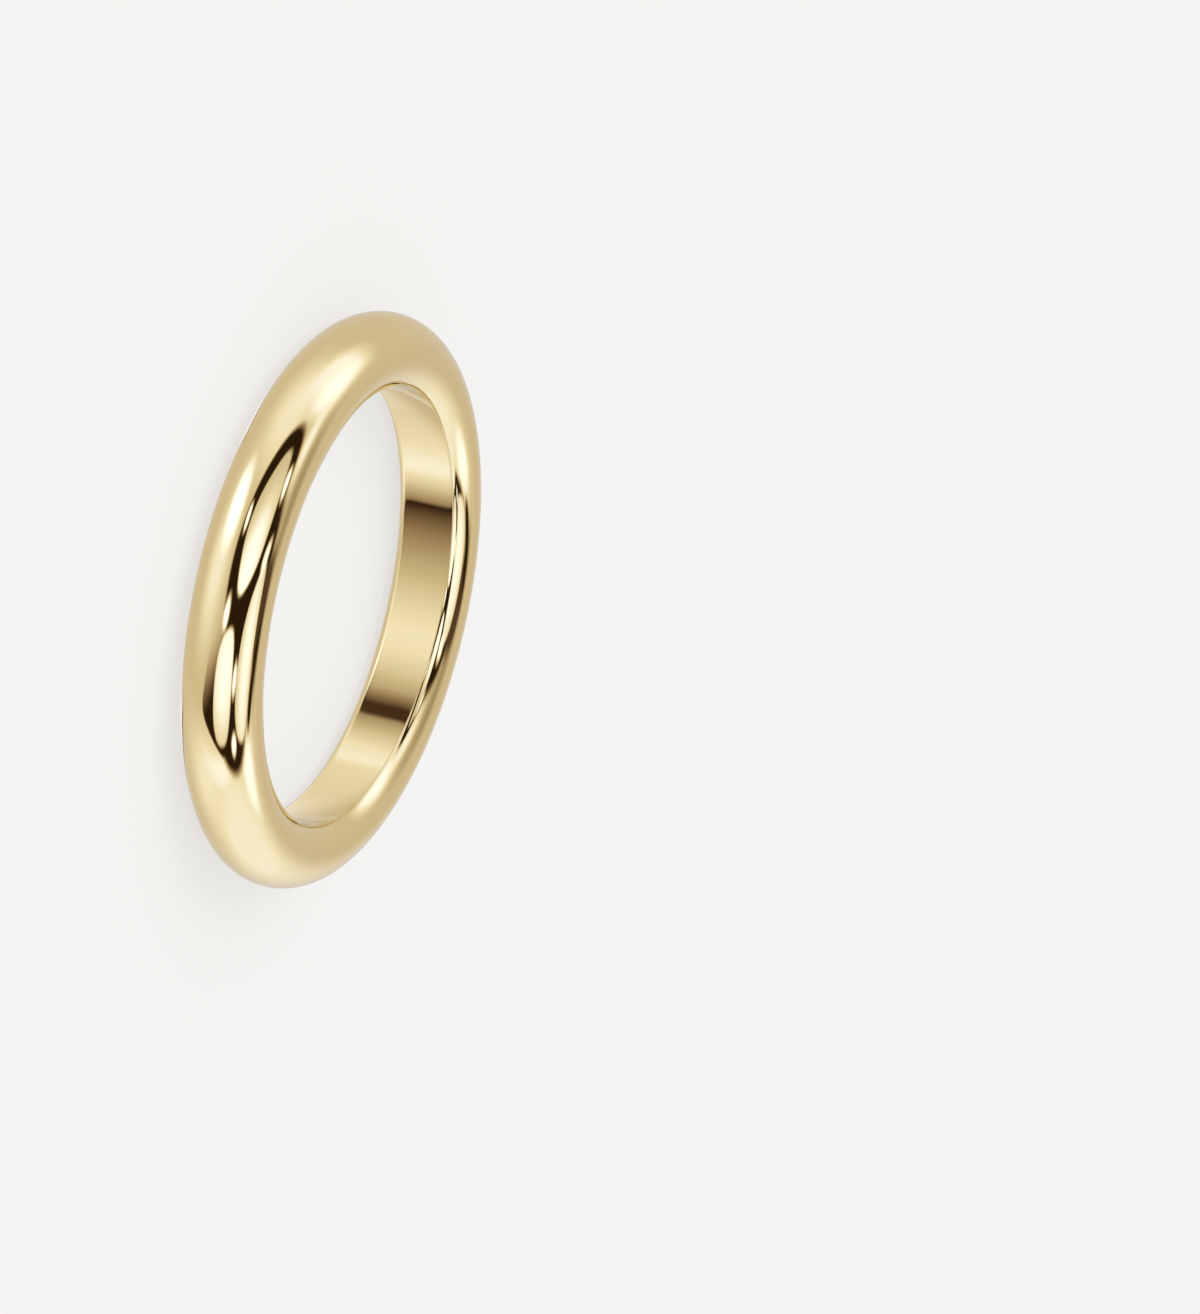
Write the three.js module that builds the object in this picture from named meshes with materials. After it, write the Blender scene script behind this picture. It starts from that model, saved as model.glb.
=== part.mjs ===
// A stackable ring: one plain domed band of polished yellow gold, in millimetres.
// It lies on its side. Its axis is +Z through the origin, and it rests on the plane z = 0.
import * as THREE from 'three'

// Sizes of the ring
const INNER_DIAMETER = 16.5 // the bore that the finger goes through
const BAND_WIDTH = 3.0 // from side to side, along the axis
const THICKNESS = 2.55 // from the bore to the crown of the dome
const SIDE_HEIGHT = 1.05 // from the bore to the widest line of the section
const SIDE_INSET = 0.43 // how far each side has curved in where it meets the bore
const EDGE_RADIUS = 0.3 // rounding of the edge between a side and the bore
const LAND_WIDTH = 0.3 // narrow flat on the widest line of each side, on which the ring rests

// Fineness of the facets
const ROUND_STEPS = 120
const CROWN_STEPS = 8
const SIDE_STEPS = 4
const EDGE_STEPS = 4
const BISECTIONS = 40

const BORE_RADIUS = INNER_DIAMETER / 2
const HALF_WIDTH = BAND_WIDTH / 2
const WIDEST_RADIUS = BORE_RADIUS + SIDE_HEIGHT
const CROWN_REACH = THICKNESS - SIDE_HEIGHT
const BORE_SHARE = (HALF_WIDTH - SIDE_INSET) / HALF_WIDTH
const SIDE_REACH = SIDE_HEIGHT / Math.sqrt(1 - BORE_SHARE ** 2)

// An ellipse centred on the widest line, through the end of the land. reach is its half height.
function ellipseThroughLand(reach) {
  const start = Math.asin(LAND_WIDTH / 2 / reach)
  return { reach, halfWidth: HALF_WIDTH / Math.cos(start), start }
}

// Points of (radius, height above the middle of the band) along an ellipse, from one angle to another.
// outward is 1 for the dome's half of the section and -1 for the bore's half.
function ellipsePoints(ellipse, outward, from, to, steps) {
  const points = []
  for (let i = 0; i <= steps; i++) {
    const angle = from + (to - from) * i / steps
    const radius = WIDEST_RADIUS + outward * ellipse.reach * Math.sin(angle)
    points.push(new THREE.Vector2(radius, ellipse.halfWidth * Math.cos(angle)))
  }
  return points
}

// The slope of the ellipse's normal, from the axis direction towards the bore.
function normalAngle(ellipse, angle) {
  return Math.atan2(Math.sin(angle) / ellipse.reach, Math.cos(angle) / ellipse.halfWidth)
}

// The angle on the side's ellipse where the edge's rounding touches it: there the centre of the
// rounding, which lies EDGE_RADIUS inside the side, also lies EDGE_RADIUS above the bore.
function edgeTangency(side) {
  let low = side.start
  let high = Math.asin(SIDE_HEIGHT / side.reach)
  for (let i = 0; i < BISECTIONS; i++) {
    const middle = (low + high) / 2
    const sink = EDGE_RADIUS * Math.sin(normalAngle(side, middle))
    const centreHeight = SIDE_HEIGHT - side.reach * Math.sin(middle) + sink
    if (centreHeight > EDGE_RADIUS) low = middle
    else high = middle
  }
  return (low + high) / 2
}

// The rounding's arc, from the bore to the side.
function edgePoints(side, tangency) {
  const slope = normalAngle(side, tangency)
  const centreRadius = BORE_RADIUS + EDGE_RADIUS
  const centreHeight = side.halfWidth * Math.cos(tangency) - EDGE_RADIUS * Math.cos(slope)
  const points = []
  for (let i = 0; i < EDGE_STEPS; i++) {
    const angle = Math.PI / 2 + (slope - Math.PI / 2) * i / EDGE_STEPS
    const radius = centreRadius - EDGE_RADIUS * Math.sin(angle)
    points.push(new THREE.Vector2(radius, centreHeight + EDGE_RADIUS * Math.cos(angle)))
  }
  return points
}

// The closed outline of the section: its upper half from the bore to the crown, then its mirror image.
function sectionOutline() {
  const side = ellipseThroughLand(SIDE_REACH)
  const crown = ellipseThroughLand(CROWN_REACH)
  const tangency = edgeTangency(side)
  const upper = [
    ...edgePoints(side, tangency),
    ...ellipsePoints(side, -1, tangency, side.start, SIDE_STEPS),
    ...ellipsePoints(crown, 1, crown.start, Math.PI / 2, CROWN_STEPS),
  ]
  const lower = upper.slice(0, -1).reverse().map((point) => new THREE.Vector2(point.x, -point.y))
  return [...upper, ...lower, upper[0].clone()]
}

// The band: the outline turned round the axis
function makeBand() {
  const gold = new THREE.MeshStandardMaterial({ color: 0xecd193, metalness: 1, roughness: 0.05 })
  const geometry = new THREE.LatheGeometry(sectionOutline().reverse(), ROUND_STEPS)
  const band = new THREE.Mesh(geometry, gold)
  band.name = 'band'
  band.rotation.x = Math.PI / 2
  band.position.z = HALF_WIDTH
  return band
}

const group = new THREE.Group()
group.name = 'stackable_ring'
group.add(makeBand())

export default group
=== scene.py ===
# A stackable ring of polished yellow gold, lying on its side on a plain pale floor.
# Units are metres, unless a comment gives others. The ring's axis is +Z, and the floor is z = 0.
from collections import namedtuple
from math import asin, atan2, cos, pi, radians, sin, sqrt

import bpy
from mathutils import Matrix, Vector


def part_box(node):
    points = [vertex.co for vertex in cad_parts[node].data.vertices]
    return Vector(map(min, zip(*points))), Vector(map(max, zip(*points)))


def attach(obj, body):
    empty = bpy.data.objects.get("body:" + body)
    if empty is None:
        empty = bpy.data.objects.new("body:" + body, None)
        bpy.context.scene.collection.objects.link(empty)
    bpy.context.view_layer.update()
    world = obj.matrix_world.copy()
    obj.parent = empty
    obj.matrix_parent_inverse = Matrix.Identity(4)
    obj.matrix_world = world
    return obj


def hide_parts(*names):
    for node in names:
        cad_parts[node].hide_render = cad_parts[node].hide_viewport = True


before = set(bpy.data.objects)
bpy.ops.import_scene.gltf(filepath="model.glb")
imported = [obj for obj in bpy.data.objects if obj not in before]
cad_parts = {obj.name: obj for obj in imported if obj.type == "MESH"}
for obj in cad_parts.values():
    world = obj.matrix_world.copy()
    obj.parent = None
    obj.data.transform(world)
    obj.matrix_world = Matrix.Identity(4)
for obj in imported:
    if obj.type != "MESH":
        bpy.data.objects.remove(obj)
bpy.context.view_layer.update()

MM = 0.001
FULL_TURN = 360

# Sizes of the section, in millimetres
THICKNESS = 2.55
SIDE_HEIGHT = 1.05
SIDE_INSET = 0.43
EDGE_RADIUS = 0.3

# Fineness of the polished surface
ROUND_STEPS = 360
CROWN_STEPS = 48
SIDE_STEPS = 24
EDGE_STEPS = 14
FLAT_STEPS = 4

# How many times the search for the place where the rounding touches the side halves its range
HALVINGS = 50

# The photograph's frame, in its own pixels: its size, its focal length, the ring's middle and its scale
PHOTO_WIDTH = 1200
PHOTO_HEIGHT = 1314
PHOTO_FOCAL = 17000
RING_X = 332.7
RING_Y = 600.0
PIXELS_PER_MM = 27.26

# The angle between the ring's axis and the line of sight, and the slope of the axis in the picture
AXIS_TO_VIEW = radians(68.7)
AXIS_SLOPE = radians(12.94)

# The camera's sensor along the picture's longer side, in millimetres, and the range that it sees
SENSOR_SIZE = 36
CLIP_START = 0.01
CLIP_END = 20

# Colours, linear
GOLD = (0.92, 0.74, 0.37)
PAPER = (0.9, 0.892, 0.877)
BACKDROP = (0.913, 0.905, 0.89)

# The gold's surface: marks of the polishing wheel and a faint haze. Scales are waves in a metre.
MARKS_SCALE = 9000
MARKS_DETAIL = 2
MARKS_STRENGTH = 0.02
MARKS_DEPTH = 0.00001
HAZE_SCALE = 400
HAZE_DETAIL = 3
HAZE_RANGE = (0.3, 0.7)
ROUGHNESS_RANGE = (0.03, 0.05)

# Light of the floor: its own glow, as of a light table, an even fill from all sides, and one soft lamp.
# The lamp's spread and its height above the floor are in degrees.
FLOOR_SIZE = 6
FLOOR_GLOW = 0.7
FILL = 0.24
LAMP_STRENGTH = 0.27
LAMP_SPREAD = 50
LAMP_HEIGHT = 48

# The studio that the gold reflects is made of soft shapes on the sky. Azimuth is 0 towards the camera and
# grows to the picture's right, elevation grows upwards, all in degrees, with the half sizes too.
# Squareness 2 is an ellipse, and larger values are squarer. Softness is the blur of the rim, as a share of
# the size. Each level is a brightness, which STUDIO_TINTS turns into a colour.
STUDIO_LEVEL = 0.68
DARK = 0.025
Shape = namedtuple("Shape", "name azimuth elevation half_width half_height roll squareness softness level")
SOFT_LIGHTS = (
    Shape("ceiling", 150, 78, 36, 26, 0, 2, 0.7, 0.98),
    Shape("tabletop", 55, -72, 44, 36, 0, 2, 0.5, 1.0),
    Shape("left_window", -74, 27, 27, 25, 0, 2, 0.7, 1.0),
    Shape("left_window_core", -82, 46.5, 15.5, 11.5, 20, 2, 0.8, 1.65),
    Shape("left_table", -60, -48, 30, 18, 0, 2, 0.8, 0.98),
    Shape("right_window", 120, 38, 15, 28, -20, 2, 0.6, 1.1),
    Shape("right_window_core", 109, 26, 9, 18, 15, 2, 0.9, 1.3),
    Shape("right_lamp", 91, 17, 10, 9, 0, 2, 0.8, 1.06),
    Shape("front_table", -12, -46, 24, 6, 0, 2, 0.9, 1.1),
    Shape("right_table", 80, -38, 12, 6, 0, 2, 0.9, 1.3),
    Shape("right_shade", 95, -10, 11.5, 13, 0, 2, 0.9, 0.4),
    Shape("back_shade", 130, -26, 22, 14, 0, 2, 0.9, 0.65),
)
FLAGS = (
    Shape("upper_flag", 29, 34, 46.5, 42, 0, 2.1, 0.05, DARK),
    Shape("lower_flag", 31.5, -4.8, 49.5, 39.5, 5, 2, 0.06, DARK),
    Shape("right_flag", 83, -14.5, 16, 7, -38, 2, 0.3, 0.09),
    Shape("low_right_flag", 83.5, -24.3, 8.8, 4.2, 33, 2, 0.3, DARK),
)
LEFT_FLAG = Shape("left_flag", -18, -10, 30, 23.4, -18, 8, 0.04, DARK)
PANELS = (
    Shape("upper_panel", 35.8, 39.3, 28.6, 22.3, -8, 2.6, 0.06, 0.72),
    Shape("left_panel", -1, -11.8, 22.4, 22.8, 0, 2.4, 0.06, 0.78),
    Shape("right_panel", 55.3, -13.2, 20.3, 19.2, 0, 2.4, 0.06, 0.74),
)
PANEL_GLOWS = (
    Shape("upper_glow", 25, 27, 24, 17, 0, 2, 0.9, 1.35),
    Shape("left_glow", 2, -5, 22, 20, 0, 2, 0.9, 1.3),
    Shape("right_glow", 57, -13, 14, 20, 0, 2, 0.9, 1.2),
)
SMALL_LIGHTS = (
    Shape("top_spot", -16, 55.3, 4, 6, 0, 2, 0.4, 1.3),
    Shape("left_spot", -13, 18, 7, 7, 0, 1.8, 0.5, 1.4),
    Shape("right_spot", 73, 24, 4, 6, 0, 1.8, 0.5, 1.4),
    Shape("slanted_spot", 66, 6, 7, 3.5, -25, 1.8, 0.5, 1.3),
    Shape("middle_spot", 28.8, -12, 4.9, 5.6, 0, 1.8, 0.5, 1.4),
    Shape("low_spot", 34, -33.5, 5.5, 4, 0, 1.8, 0.5, 1.4),
)

# The left flag fades out across itself: the direction of the fade, its start and its end, in degrees
LEFT_FLAG_FADE = (135, -2, 28)

# The bore is straight along the axis, so it reflects what lies close behind the opening. That is a short
# tube under the floor, which only reflections see. At its top its light falls to the share TUBE_SHADE.
# The gap between floor and tube, the tube's depth and the depth of the shade are in millimetres.
TUBE_SIDES = 180
TUBE_GAP = 0.02
TUBE_DEPTH = 12
TUBE_SHADE = 0.72
TUBE_SHADE_DEPTH = 2.2

# A point of the bore reflects the tube at three times its own angle round the axis. So a third of the bore
# sees the whole tube, and the two ends of the visible arc share one part of it.
TUBE_MULTIPLE = 3
TUBE_START = 45
TUBE_SPAN = FULL_TURN / TUBE_MULTIPLE

# The angle of a point of the bore in degrees, then the level that it reflects there.
# Each of the two dark cards has one sharp rim and one soft rim.
TUBE_LEVELS = (
    (45, 0.88),
    (48, 1.01),
    (50, 1.0),
    (53, 0.94),
    (57.5, 0.72),
    (62, 0.42),
    (63, 0.06),
    (66, 0.06),
    (71, 0.56),
    (76, 0.78),
    (81.5, 0.94),
    (86.5, 0.97),
    (91, 0.9),
    (97, 0.76),
    (112.5, 0.32),
    (116, 0.19),
    (120.5, 0.02),
    (121.5, 0.36),
    (126, 0.76),
    (130, 1.0),
    (132.5, 1.05),
    (136, 0.99),
    (141, 0.9),
    (146, 0.86),
    (151, 0.82),
    (158, 0.84),
    (165, 0.88),
)

# A level, then the light's colour there. The shade is warm, and the brightest light is so blue that the
# yellow gold reflects it as white.
STUDIO_TINTS = (
    (0.0, (0.0, 0.0, 0.0)),
    (0.018, (0.018, 0.0095, 0.004)),
    (0.06, (0.06, 0.034, 0.023)),
    (0.31, (0.31, 0.24, 0.19)),
    (0.66, (0.66, 0.625, 0.6)),
    (0.94, (0.94, 0.99, 1.15)),
    (1.04, (1.04, 1.16, 1.65)),
    (1.6, (1.6, 1.9, 3.0)),
)
BRIGHTEST = STUDIO_TINTS[-1][0]

# Where the gold reflects itself, an even light takes the place of the studio: one before the ring and one
# behind it. They blend between two values of a measure that is -1 before the ring and 1 behind it.
LIGHT_BEFORE = (1.05, 1.45, 3.8)
LIGHT_BEHIND = (0.64, 0.66, 0.78)
BEFORE_END = -0.3
BEHIND_START = 0.3


def section(low, high):
    """The section's closed outline as (radius, height) points in metres, between the box's corners."""
    outer = high.x
    bore = outer - THICKNESS * MM
    half = (high.z - low.z) / 2
    middle = (high.z + low.z) / 2
    widest = bore + SIDE_HEIGHT * MM
    crown_reach = outer - widest
    share = (half - SIDE_INSET * MM) / half
    side_reach = SIDE_HEIGHT * MM / sqrt(1 - share**2)
    edge = EDGE_RADIUS * MM

    def slope(angle):
        """Slope of the side's normal, from the axis towards the bore."""
        return atan2(sin(angle) / side_reach, cos(angle) / half)

    # The angle at which the rounding touches the side, by halving the range that holds it
    near, far = 0.0, asin(SIDE_HEIGHT * MM / side_reach)
    for _ in range(HALVINGS):
        angle = (near + far) / 2
        height = SIDE_HEIGHT * MM - side_reach * sin(angle) + edge * sin(slope(angle))
        if height > edge:
            near = angle
        else:
            far = angle
    tangency = (near + far) / 2
    turn = slope(tangency)
    centre = (bore + edge, half * cos(tangency) - edge * cos(turn))

    # The upper half, along the bore, the rounding, the side and the crown, and then its mirror image
    upper = [(bore, centre[1] * i / FLAT_STEPS) for i in range(FLAT_STEPS)]
    for i in range(EDGE_STEPS):
        angle = pi / 2 + (turn - pi / 2) * i / EDGE_STEPS
        upper.append((centre[0] - edge * sin(angle), centre[1] + edge * cos(angle)))
    for i in range(SIDE_STEPS):
        angle = tangency * (1 - i / SIDE_STEPS)
        upper.append((widest - side_reach * sin(angle), half * cos(angle)))
    for i in range(CROWN_STEPS):
        angle = pi / 2 * i / CROWN_STEPS
        upper.append((widest + crown_reach * sin(angle), half * cos(angle)))
    crown = [(outer, 0.0)]
    lower = [(radius, -height) for radius, height in reversed(upper[1:])]
    return [(radius, middle + height) for radius, height in upper + crown + lower]


def make_band():
    """The section turned round the axis, as one smooth closed mesh."""
    low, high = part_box("band")
    outline = section(Vector(low), Vector(high))
    count = len(outline)
    points = []
    for i in range(ROUND_STEPS):
        turn = 2 * pi * i / ROUND_STEPS
        points += [(radius * cos(turn), radius * sin(turn), height) for radius, height in outline]
    faces = []
    for i in range(ROUND_STEPS):
        here, there = i * count, (i + 1) % ROUND_STEPS * count
        for k in range(count):
            after = (k + 1) % count
            faces.append((here + k, here + after, there + after, there + k))
    mesh = bpy.data.meshes.new("polished_band")
    mesh.from_pydata(points, [], faces)
    mesh.shade_smooth()
    mesh.update()
    band = bpy.data.objects.new("polished_band", mesh)
    bpy.context.scene.collection.objects.link(band)
    return band


def make_camera():
    """The camera, at the photograph's angle. Gives its right, its up and its way back from the ring."""
    distance = PHOTO_FOCAL / PIXELS_PER_MM * MM
    low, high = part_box("band")
    centre = (Vector(low) + Vector(high)) / 2
    back = Vector((0, -sin(AXIS_TO_VIEW), cos(AXIS_TO_VIEW)))
    level_up = Vector((0, cos(AXIS_TO_VIEW), sin(AXIS_TO_VIEW)))
    level_right = Vector((1, 0, 0))
    roll = pi / 2 + AXIS_SLOPE
    right = level_right * cos(roll) + level_up * sin(roll)
    up = level_up * cos(roll) - level_right * sin(roll)
    across = (RING_X - PHOTO_WIDTH / 2) / PHOTO_FOCAL * distance
    down = (RING_Y - PHOTO_HEIGHT / 2) / PHOTO_FOCAL * distance
    place = centre + back * distance - right * across + up * down
    data = bpy.data.cameras.new("camera")
    data.sensor_width = SENSOR_SIZE
    data.lens = PHOTO_FOCAL * SENSOR_SIZE / PHOTO_HEIGHT
    data.clip_start = CLIP_START
    data.clip_end = CLIP_END
    camera = bpy.data.objects.new("camera", data)
    turn = Matrix((right, up, back)).transposed()
    camera.matrix_world = Matrix.Translation(place) @ turn.to_4x4()
    bpy.context.scene.collection.objects.link(camera)
    bpy.context.scene.camera = camera
    return right, up, back


class Nodes:
    """Makes and joins nodes in one tree."""

    def __init__(self, tree):
        self.tree = tree

    def give(self, socket, value):
        """Joins a socket to another node's socket, or sets its value."""
        if isinstance(value, bpy.types.NodeSocket):
            self.tree.links.new(value, socket)
        else:
            socket.default_value = value

    def add(self, kind, inputs=(), **settings):
        """A node with its settings, and with its first inputs given in order."""
        node = self.tree.nodes.new(kind)
        for name, value in settings.items():
            setattr(node, name, value)
        for socket, value in zip(node.inputs, inputs):
            self.give(socket, value)
        return node

    def math(self, operation, *inputs):
        return self.add("ShaderNodeMath", inputs, operation=operation).outputs[0]

    def dot(self, one, other):
        return self.add("ShaderNodeVectorMath", (one, other), operation="DOT_PRODUCT").outputs["Value"]

    def ramp(self, value, low, high, at_low, at_high, interpolation="SMOOTHSTEP"):
        """Goes from at_low to at_high while the value goes from low to high."""
        node = self.add("ShaderNodeMapRange", interpolation_type=interpolation)
        self.give(node.inputs["Value"], value)
        self.give(node.inputs["From Min"], low)
        self.give(node.inputs["From Max"], high)
        self.give(node.inputs["To Min"], at_low)
        self.give(node.inputs["To Max"], at_high)
        return node.outputs["Result"]

    def mix(self, share, one, other):
        """One number where the share is 0, the other where it is 1."""
        node = self.add("ShaderNodeMix", data_type="FLOAT")
        self.give(node.inputs["Factor"], share)
        self.give(node.inputs["A"], one)
        self.give(node.inputs["B"], other)
        return node.outputs["Result"]

    def mix_shaders(self, share, one, other):
        """One shader where the share is 0, the other where it is 1."""
        return self.add("ShaderNodeMixShader", (share, one, other)).outputs[0]

    def stops(self, value, stops):
        """The colour at a value from 0 to 1, between stops given as (position, colour)."""
        node = self.add("ShaderNodeValToRGB", (value,))
        elements = node.color_ramp.elements
        while len(elements) < len(stops):
            elements.new(1)
        for element, (position, colour) in zip(elements, stops):
            element.position = position
            element.color = (*colour, 1)
        return node.outputs["Color"]


def soft_shape_group():
    """A node group that gives 1 inside a soft rounded shape on the sky and 0 outside."""
    group = bpy.data.node_groups.new("soft_shape", "ShaderNodeTree")
    for name in ("Direction", "Across", "Upward", "Centre"):
        group.interface.new_socket(name, in_out="INPUT", socket_type="NodeSocketVector")
    for name in ("Squareness", "Softness"):
        group.interface.new_socket(name, in_out="INPUT", socket_type="NodeSocketFloat")
    group.interface.new_socket("Inside", in_out="OUTPUT", socket_type="NodeSocketFloat")
    nodes = Nodes(group)
    given = nodes.add("NodeGroupInput").outputs
    powers = []
    for name in ("Across", "Upward"):
        size = nodes.math("ABSOLUTE", nodes.dot(given["Direction"], given[name]))
        powers.append(nodes.math("POWER", size, given["Squareness"]))
    root = nodes.math("DIVIDE", 1.0, given["Squareness"])
    reach = nodes.math("POWER", nodes.math("ADD", *powers), root)
    inner = nodes.math("SUBTRACT", 1.0, given["Softness"])
    outer = nodes.math("ADD", 1.0, given["Softness"])
    inside = nodes.ramp(reach, inner, outer, 1, 0)
    front = nodes.math("GREATER_THAN", nodes.dot(given["Direction"], given["Centre"]), 0.0)
    nodes.add("NodeGroupOutput", (nodes.math("MULTIPLY", inside, front),))
    return group


class Studio:
    """Places shapes on the sky by azimuth and elevation, counted from the photograph's own upright."""

    def __init__(self, nodes, direction, right, up, back):
        tilt = atan2(sin(AXIS_SLOPE) * sin(AXIS_TO_VIEW), cos(AXIS_TO_VIEW))
        self.nodes = nodes
        self.direction = direction
        self.right = right
        self.upright = up * cos(tilt) + back * sin(tilt)
        self.front = back * cos(tilt) - up * sin(tilt)
        self.group = soft_shape_group()

    def axes(self, shape):
        """The middle of a shape and its two axes, as directions in the world."""
        azimuth, elevation, roll = radians(shape.azimuth), radians(shape.elevation), radians(shape.roll)
        level = self.front * cos(azimuth) + self.right * sin(azimuth)
        centre = level * cos(elevation) + self.upright * sin(elevation)
        across = self.right * cos(azimuth) - self.front * sin(azimuth)
        upward = self.upright * cos(elevation) - level * sin(elevation)
        return centre, across * cos(roll) + upward * sin(roll), upward * cos(roll) - across * sin(roll)

    def inside(self, shape):
        """1 inside a shape and 0 outside."""
        centre, across, upward = self.axes(shape)
        across = across / sin(radians(shape.half_width))
        upward = upward / sin(radians(shape.half_height))
        given = (self.direction, across, upward, centre, shape.squareness, shape.softness)
        node = self.nodes.add("ShaderNodeGroup", given, node_tree=self.group, label=shape.name)
        return node.outputs["Inside"]

    def fade(self, shape, towards, start, end):
        """1 up to start degrees from the middle of a shape in one direction, 0 from end degrees on."""
        _, across, upward = self.axes(shape)
        along = across * cos(radians(towards)) + upward * sin(radians(towards))
        reach = self.nodes.dot(self.direction, along)
        return self.nodes.ramp(reach, sin(radians(start)), sin(radians(end)), 1, 0)

    def paint(self, level, shape, share=None):
        """Lays a shape's own level over the level so far."""
        return self.nodes.mix(share or self.inside(shape), level, shape.level)


def studio_level(studio):
    """Brightness of the studio in each direction."""
    nodes = studio.nodes
    level = STUDIO_LEVEL
    for shape in SOFT_LIGHTS + FLAGS:
        level = studio.paint(level, shape)
    faded = nodes.math("MULTIPLY", studio.inside(LEFT_FLAG), studio.fade(LEFT_FLAG, *LEFT_FLAG_FADE))
    level = studio.paint(level, LEFT_FLAG, faded)
    for panel, glow in zip(PANELS, PANEL_GLOWS):
        lit = studio.paint(panel.level, glow)
        level = nodes.mix(studio.inside(panel), level, lit)
    for shape in SMALL_LIGHTS:
        level = studio.paint(level, shape)
    return level


def reflected_light(nodes, kind, level, away):
    """The light at a level of brightness, for reflections. away is -1 before the ring and 1 behind it.

    What the gold throws on the floor is cut to the fill, and what it throws on itself is even.
    """
    stops = [(stop / BRIGHTEST, colour) for stop, colour in STUDIO_TINTS]
    tint = nodes.stops(nodes.math("DIVIDE", level, BRIGHTEST), stops)
    ray = nodes.add("ShaderNodeLightPath").outputs
    strength = nodes.ramp(ray["Diffuse Depth"], 0, 1, 1, FILL, "LINEAR")
    first = nodes.add(kind, (tint, strength)).outputs[0]
    before = nodes.add(kind, ((*LIGHT_BEFORE, 1), strength)).outputs[0]
    behind = nodes.add(kind, ((*LIGHT_BEHIND, 1), strength)).outputs[0]
    second = nodes.mix_shaders(nodes.ramp(away, BEFORE_END, BEHIND_START, 0, 1), before, behind)
    again = nodes.ramp(ray["Glossy Depth"], 1, 2, 0, 1, "LINEAR")
    return nodes.mix_shaders(again, first, second)


def make_world(right, up, back):
    """The gold reflects the studio. The camera sees a plain backdrop, and the floor gets an even fill."""
    world = bpy.data.worlds.new("studio")
    world.use_nodes = True
    world.cycles.sampling_method = "NONE"
    nodes = Nodes(world.node_tree)
    direction = nodes.add("ShaderNodeTexCoord").outputs["Generated"]
    level = studio_level(Studio(nodes, direction, right, up, back))
    away = nodes.add("ShaderNodeSeparateXYZ", (direction,)).outputs["Y"]
    reflected = reflected_light(nodes, "ShaderNodeBackground", level, away)
    fill = nodes.add("ShaderNodeBackground", ((FILL, FILL, FILL, 1),)).outputs[0]
    backdrop = nodes.add("ShaderNodeBackground", ((*BACKDROP, 1),)).outputs[0]
    ray = nodes.add("ShaderNodeLightPath").outputs
    plain = nodes.mix_shaders(ray["Is Camera Ray"], fill, backdrop)
    shown = nodes.mix_shaders(ray["Is Glossy Ray"], plain, reflected)
    nodes.give(nodes.tree.nodes["World Output"].inputs["Surface"], shown)
    bpy.context.scene.world = world


def new_material(name):
    """A material, the maker of its nodes and its main shader."""
    material = bpy.data.materials.new(name)
    material.use_nodes = True
    return material, Nodes(material.node_tree), material.node_tree.nodes["Principled BSDF"]


def tube_light(radius):
    """Light of the tube's inner wall, by the angle round the axis and by depth. The outer wall is clear."""
    material, nodes, shader = new_material("tube_light")
    place = nodes.add("ShaderNodeTexCoord").outputs["Object"]
    apart = nodes.add("ShaderNodeSeparateXYZ", (place,)).outputs
    turn = nodes.math("DEGREES", nodes.math("ARCTAN2", apart["Y"], apart["X"]))
    past_start = nodes.math("ADD", turn, FULL_TURN - TUBE_MULTIPLE * TUBE_START)
    round_tube = nodes.math("FLOORED_MODULO", past_start, FULL_TURN)
    stops = [((angle - TUBE_START) / TUBE_SPAN, (level,) * 3) for angle, level in TUBE_LEVELS]
    lit = nodes.stops(nodes.math("DIVIDE", round_tube, FULL_TURN), stops)
    top = TUBE_DEPTH / 2 * MM
    shade = nodes.ramp(apart["Z"], top - TUBE_SHADE_DEPTH * MM, top, 1, TUBE_SHADE)
    away = nodes.math("DIVIDE", apart["Y"], radius)
    light = reflected_light(nodes, "ShaderNodeEmission", nodes.math("MULTIPLY", lit, shade), away)
    inner = nodes.add("ShaderNodeNewGeometry").outputs["Backfacing"]
    clear = nodes.add("ShaderNodeBsdfTransparent").outputs[0]
    nodes.tree.nodes.remove(shader)
    shown = nodes.mix_shaders(inner, clear, light)
    nodes.give(nodes.tree.nodes["Material Output"].inputs["Surface"], shown)
    material.cycles.emission_sampling = "NONE"
    return material


def make_tube():
    """The tube that the bore reflects: as wide as the bore, just under the floor."""
    low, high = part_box("band")
    radius = high[0] - THICKNESS * MM
    middle = low[2] - (TUBE_GAP + TUBE_DEPTH / 2) * MM
    bpy.ops.mesh.primitive_cylinder_add(
        vertices=TUBE_SIDES,
        radius=radius,
        depth=TUBE_DEPTH * MM,
        end_fill_type="NOTHING",
        location=(0, 0, middle),
    )
    tube = bpy.context.active_object
    tube.name = "reflected_tube"
    tube.data.materials.append(tube_light(radius))
    tube.visible_camera = False
    tube.visible_diffuse = False
    tube.visible_shadow = False


def make_lamp(up):
    """A broad soft lamp above the top of the picture, which the gold doesn't reflect."""
    data = bpy.data.lights.new("soft_lamp", "SUN")
    data.energy = LAMP_STRENGTH
    data.angle = radians(LAMP_SPREAD)
    lamp = bpy.data.objects.new("soft_lamp", data)
    level = Vector((up.x, up.y, 0)).normalized()
    towards = level * cos(radians(LAMP_HEIGHT)) + Vector((0, 0, sin(radians(LAMP_HEIGHT))))
    lamp.rotation_euler = towards.to_track_quat("Z", "Y").to_euler()
    lamp.visible_glossy = False
    bpy.context.scene.collection.objects.link(lamp)


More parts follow.
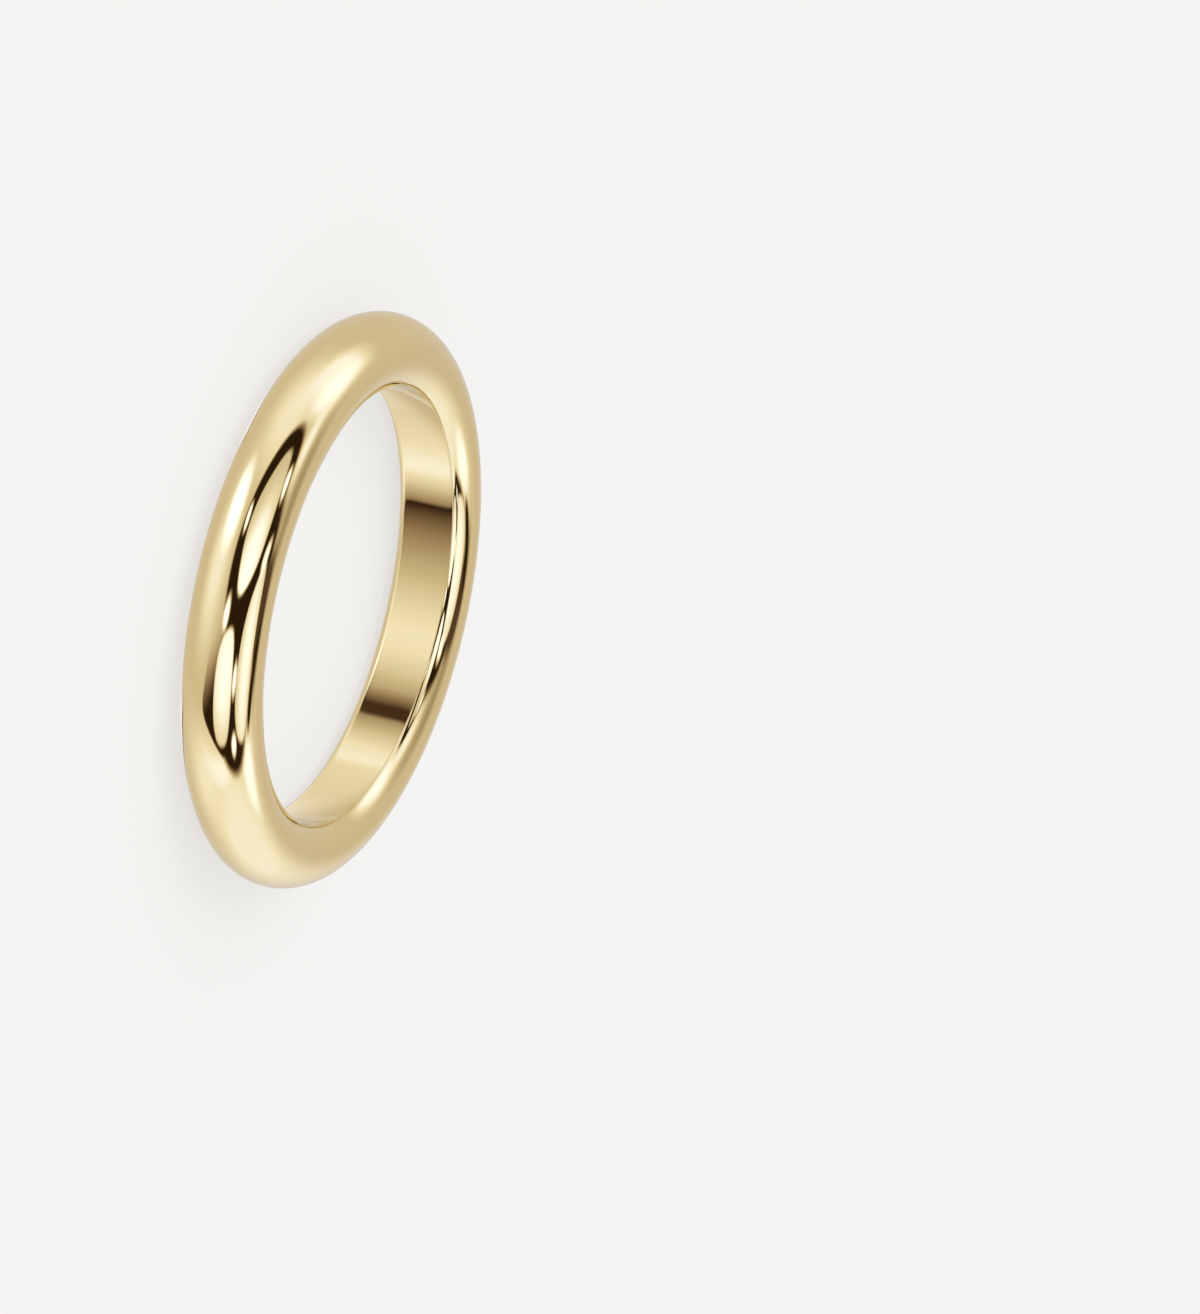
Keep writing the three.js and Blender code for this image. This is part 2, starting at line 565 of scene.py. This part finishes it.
def noise(nodes, place, scale, detail, **settings):
    """Noise from 0 to 1 at each place."""
    node = nodes.add("ShaderNodeTexNoise", **settings)
    nodes.give(node.inputs["Vector"], place)
    nodes.give(node.inputs["Scale"], scale)
    nodes.give(node.inputs["Detail"], detail)
    return node.outputs["Fac"]


def polished_gold():
    """Mirror-polished gold, with faint marks of the polishing wheel round the band."""
    material, nodes, shader = new_material("polished_gold")
    shader.inputs["Base Color"].default_value = (*GOLD, 1)
    shader.inputs["Metallic"].default_value = 1
    place = nodes.add("ShaderNodeTexCoord").outputs["Object"]
    apart = nodes.add("ShaderNodeSeparateXYZ", (place,)).outputs
    squares = [nodes.math("POWER", apart[axis], 2.0) for axis in ("X", "Y")]
    radius = nodes.math("SQRT", nodes.math("ADD", *squares))
    across = nodes.add("ShaderNodeCombineXYZ", (radius, apart["Z"], 0.0)).outputs[0]
    marks = noise(nodes, across, MARKS_SCALE, MARKS_DETAIL, noise_dimensions="2D")
    haze = noise(nodes, place, HAZE_SCALE, HAZE_DETAIL)
    nodes.give(shader.inputs["Roughness"], nodes.ramp(haze, *HAZE_RANGE, *ROUGHNESS_RANGE))
    bump = nodes.add("ShaderNodeBump")
    nodes.give(bump.inputs["Height"], marks)
    nodes.give(bump.inputs["Strength"], MARKS_STRENGTH)
    nodes.give(bump.inputs["Distance"], MARKS_DEPTH)
    nodes.give(shader.inputs["Normal"], bump.outputs["Normal"])
    return material


def pale_paper():
    """Matt paper that glows like a light table."""
    material, _, shader = new_material("pale_paper")
    shader.inputs["Base Color"].default_value = (*PAPER, 1)
    shader.inputs["Roughness"].default_value = 1
    shader.inputs["Specular IOR Level"].default_value = 0
    shader.inputs["Emission Color"].default_value = (*BACKDROP, 1)
    shader.inputs["Emission Strength"].default_value = FLOOR_GLOW
    return material


def make_floor():
    """The floor, which the gold doesn't reflect."""
    bpy.ops.mesh.primitive_plane_add(size=FLOOR_SIZE)
    floor = bpy.context.active_object
    floor.name = "floor"
    floor.data.materials.append(pale_paper())
    floor.visible_glossy = False


right, up, back = make_camera()
band = make_band()
band.data.materials.append(polished_gold())
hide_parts("band")
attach(band, "root")
make_floor()
make_tube()
make_lamp(up)
make_world(right, up, back)
bpy.context.scene.view_settings.view_transform = "Standard"
